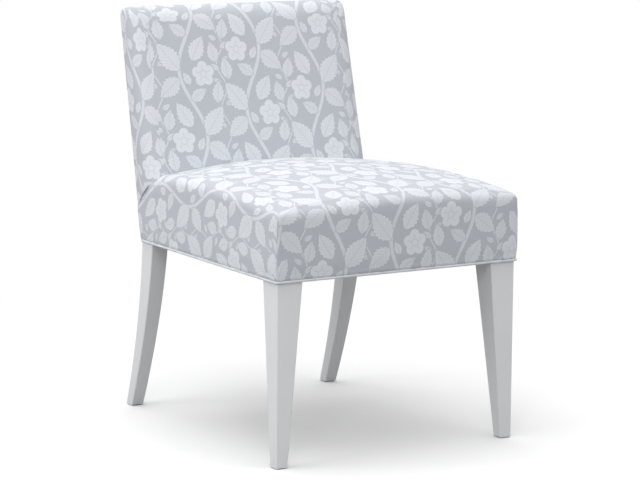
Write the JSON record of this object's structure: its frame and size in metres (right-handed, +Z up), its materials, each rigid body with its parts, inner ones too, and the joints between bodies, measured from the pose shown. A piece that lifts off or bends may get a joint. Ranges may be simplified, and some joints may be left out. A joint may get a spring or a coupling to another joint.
{
  "type": "slipper chair",
  "caption": "Armless slipper chair with a crowned upholstered seat, a raked square back, a welt round the foot of the upholstery, tapered front legs and sabre rear legs.",
  "frame": {"origin": "on the floor, under the middle of the chair's bounding box", "axes": "+X towards the chair's right side as seen from in front of it, +Y towards the outside back, +Z up"},
  "size_m": [0.5722, 0.687, 0.8515],
  "materials": {
    "painted_wood": "pale grey satin paint",
    "raw_wood": "bare hardwood",
    "upholstery": "matt printed weave, pale leaves on a soft grey ground",
    "piping": "matt printed weave over a cord",
    "foam": "open-cell foam",
    "burlap": "coarse weave",
    "webbing": "woven strap",
    "dust_cover": "thin black non-woven cloth",
    "spring_steel": "drawn spring wire",
    "zinc_steel": "zinc plated",
    "nylon": "moulded"
  },
  "bodies": {
    "root": {"front_leg_left": "painted_wood", "front_leg_right": "painted_wood", "rear_leg_post_left": "painted_wood", "rear_leg_post_right": "painted_wood", "front_glide_left": "nylon", "front_glide_right": "nylon", "rear_glide_left": "nylon", "rear_glide_right": "nylon", "front_seat_rail": "raw_wood", "rear_seat_rail": "raw_wood", "side_seat_rail_left": "raw_wood", "side_seat_rail_right": "raw_wood", "back_stay_rail": "raw_wood", "back_crest_rail": "raw_wood", "front_corner_block_left": "raw_wood", "front_corner_block_right": "raw_wood", "front_rail_screw_left": "zinc_steel", "front_rail_screw_right": "zinc_steel", "front_side_screw_left": "zinc_steel", "front_side_screw_right": "zinc_steel", "rear_corner_block_left": "raw_wood", "rear_corner_block_right": "raw_wood", "rear_rail_screw_left": "zinc_steel", "rear_rail_screw_right": "zinc_steel", "rear_side_screw_left": "zinc_steel", "rear_side_screw_right": "zinc_steel", "seat_spring_1": "spring_steel", "seat_spring_2": "spring_steel", "seat_spring_3": "spring_steel", "seat_spring_4": "spring_steel", "front_spring_clip_1": "zinc_steel", "front_spring_clip_2": "zinc_steel", "front_spring_clip_3": "zinc_steel", "front_spring_clip_4": "zinc_steel", "rear_spring_clip_1": "zinc_steel", "rear_spring_clip_2": "zinc_steel", "rear_spring_clip_3": "zinc_steel", "rear_spring_clip_4": "zinc_steel", "spring_deck": "burlap", "dust_cover": "dust_cover", "seat_foam": "foam", "seat_cover": "upholstery", "seat_welt": "piping", "back_web_1": "webbing", "back_web_2": "webbing", "back_web_3": "webbing", "back_foam": "foam", "back_cover": "upholstery", "outside_back_panel": "upholstery"}
  },
  "joints": []
}
